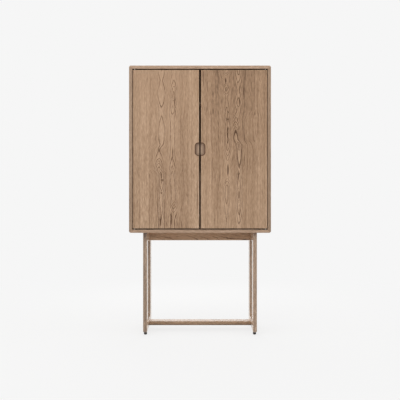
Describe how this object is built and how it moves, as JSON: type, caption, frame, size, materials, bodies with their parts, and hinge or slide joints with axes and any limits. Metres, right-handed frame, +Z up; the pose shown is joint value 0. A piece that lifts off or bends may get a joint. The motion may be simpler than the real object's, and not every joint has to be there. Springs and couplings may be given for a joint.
{
  "type": "bar cabinet",
  "caption": "Tall bar cabinet on an open wooden base: flush doors with recessed pulls, bottle rack, glass rails and a fold-out serving shelf on the inside of a door.",
  "frame": {"origin": "on the floor, under the middle of the case", "axes": "+Z up, +X to the right of someone facing the doors, doors face -Y"},
  "size_m": [0.8, 0.45, 1.526],
  "materials": {
    "oak_case": "brushed oak, matt clear finish",
    "oak_doors": "brushed oak veneer, upright grain, matt clear finish",
    "oak_base": "solid oak, matt clear finish",
    "oak_inside": "oak, matt clear finish",
    "bronze_cup": "satin antique bronze",
    "steel_hardware": "satin",
    "catch_plastic": "matt moulded",
    "glide_plastic": "matt moulded"
  },
  "bodies": {
    "case": {"adjustable_shelf": "oak_inside", "back_panel": "oak_inside", "base_screws": "steel_hardware", "case_bottom": "oak_case", "case_left": "oak_case", "case_pivot_plates": "steel_hardware", "case_right": "oak_case", "case_top": "oak_case", "catch_magnets": "catch_plastic", "centre_partition": "oak_inside", "cross_rail": "oak_base", "foot_glide_front_left": "glide_plastic", "foot_glide_front_right": "glide_plastic", "foot_glide_rear_left": "glide_plastic", "foot_glide_rear_right": "glide_plastic", "glass_rail_1": "oak_inside", "glass_rail_2": "oak_inside", "glass_rail_3": "oak_inside", "glass_rail_4": "oak_inside", "glass_rail_5": "oak_inside", "glass_rail_6": "oak_inside", "left_front_leg": "oak_base", "left_rear_leg": "oak_base", "left_runner": "oak_base", "left_top_rail": "oak_base", "rack_divider_1": "oak_inside", "rack_divider_2": "oak_inside", "rack_divider_3": "oak_inside", "rack_shelf_1": "oak_inside", "rack_shelf_2": "oak_inside", "right_front_leg": "oak_base", "right_rear_leg": "oak_base", "right_runner": "oak_base", "right_top_rail": "oak_base", "shelf_pins": "steel_hardware", "stretcher": "oak_base", "upper_shelf": "oak_inside", "worktop": "oak_inside"},
    "left_door": {"left_door_panel": "oak_doors", "left_door_pivot_plates": "steel_hardware", "left_door_strike": "steel_hardware", "left_pull_cup": "bronze_cup"},
    "right_door": {"right_door_panel": "oak_doors", "right_door_pivot_plates": "steel_hardware", "right_door_strike": "steel_hardware", "right_pull_cup": "bronze_cup", "leaf_hinge_door_plates": "steel_hardware", "leaf_hinge_pins": "steel_hardware", "leaf_catch": "catch_plastic", "bracket_mount": "steel_hardware", "bracket_pin": "steel_hardware"},
    "leaf": {"shelf_leaf": "oak_inside", "leaf_hinge_leaf_plates": "steel_hardware", "leaf_strike": "steel_hardware"},
    "bracket": {"bracket_arm": "oak_inside"}
  },
  "joints": [
    {"name": "left_door_swing", "type": "hinge", "parent": "case", "child": "left_door", "pos_m": [-0.3695, -0.216, 1.0545], "axis": [0, 0, -1], "range_deg": [0, 110]},
    {"name": "right_door_swing", "type": "hinge", "parent": "case", "child": "right_door", "pos_m": [0.3695, -0.216, 1.0545], "axis": [0, 0, 1], "range_deg": [0, 110]},
    {"name": "shelf_fold", "type": "hinge", "parent": "right_door", "child": "leaf", "pos_m": [0.2145, -0.198, 1.005], "axis": [-1, 0, 0], "range_deg": [0, 90]},
    {"name": "bracket_swing", "type": "hinge", "parent": "right_door", "child": "bracket", "pos_m": [0.2325, -0.191, 0.95518], "axis": [0, 0, -1], "range_deg": [0, 90]}
  ]
}
